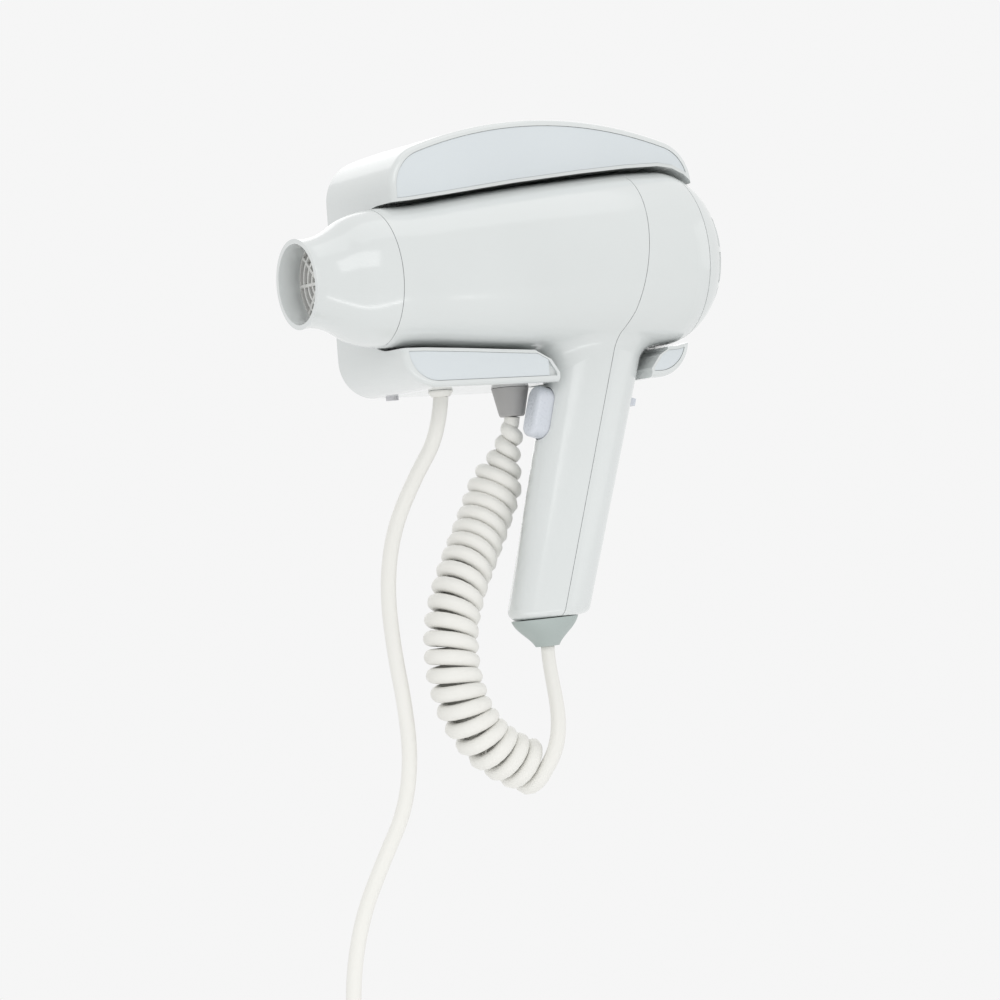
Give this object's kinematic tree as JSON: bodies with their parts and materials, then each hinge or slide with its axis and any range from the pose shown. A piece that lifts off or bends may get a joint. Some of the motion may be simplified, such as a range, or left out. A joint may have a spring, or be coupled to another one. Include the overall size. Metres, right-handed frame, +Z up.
{
  "type": "wall-mounted hair dryer",
  "caption": "Wall-mounted hair dryer: pistol handset with tapered nozzle docked in a forked wall holder, curly cord to the handle and mains lead with plug",
  "frame": {"origin": "middle of the four wall screws, on the wall face, level with the barrel axis", "axes": "+Y into the wall, +Z up, +X from the outlet toward the rear of the barrel"},
  "size_m": [0.224, 0.0917, 0.5616],
  "materials": {
    "shell_white": "gloss moulded plastic",
    "panel_white": "satin moulded plastic",
    "button_white": "gloss",
    "cord_white": "soft matt jacket",
    "gland_dark": "matt",
    "cone_grey": "matt grey elastomer",
    "plastic_dark": "matt",
    "steel": "brushed",
    "brass": "plain",
    "mica": "mica sheet",
    "wire": "resistance wire",
    "board": "circuit board",
    "fan": "matt",
    "inner_plastic": "matt"
  },
  "bodies": {
    "holder": {"holder_cover": "shell_white", "hood_panel": "panel_white", "fork_panel": "panel_white", "prong_panel": "panel_white", "wall_plate": "inner_plastic", "cover_screws": "steel", "terminal_block": "inner_plastic", "terminal_screws": "brass", "mains_clamp": "inner_plastic", "clamp_screws": "steel", "curly_gland": "gland_dark", "mains_grommet": "cord_white", "mains_cord": "cord_white", "mains_coil": "cord_white", "cord_tie": "plastic_dark", "plug_relief": "cord_white", "plug_body": "cord_white", "plug_pins": "brass", "curly_cord_lead": "cord_white", "curly_cord": "cord_white"},
    "handset": {"front_shell": "shell_white", "rear_shell": "shell_white", "outlet_nozzle": "shell_white", "rear_grille": "shell_white", "outlet_grille": "plastic_dark", "intake_filter": "steel", "mica_sleeve": "mica", "heater_frame": "mica", "heater_windings": "wire", "thermostat": "steel", "thermal_fuse": "steel", "rectifier_board": "board", "motor": "steel", "stator_duct": "plastic_dark", "switch_body": "plastic_dark", "trigger_spring": "steel", "selector_body": "plastic_dark", "shell_screws": "steel", "handle_cone": "cone_grey", "handle_clamp": "inner_plastic", "curly_cord_tail": "cord_white"},
    "rotor": {"impeller": "fan", "motor_shaft": "steel"},
    "trigger": {"trigger_button": "button_white"},
    "selector": {"selector_knob": "button_white"}
  },
  "joints": [
    {"name": "handset_lift", "type": "slide", "parent": "holder", "child": "handset", "axis": [0, -1, 0], "range_m": [0, 0.1], "deforming": ["curly_cord", "curly_cord_lead", "curly_cord_tail"]},
    {"name": "fan_spin", "type": "hinge", "parent": "handset", "child": "rotor", "pos_m": [0.04397, -0.051, 0.00154], "axis": [0.9994, 0, 0.0349], "continuous": true},
    {"name": "trigger_press", "type": "slide", "parent": "handset", "child": "trigger", "axis": [0.9583, 0, -0.2857], "range_m": [0, 0.0025], "stiffness_N_per_m": 400, "springref_m": -0.001},
    {"name": "selector_slide", "type": "slide", "parent": "handset", "child": "selector", "axis": [0.2857, 0, 0.9583], "range_m": [-0.003, 0.003]}
  ]
}
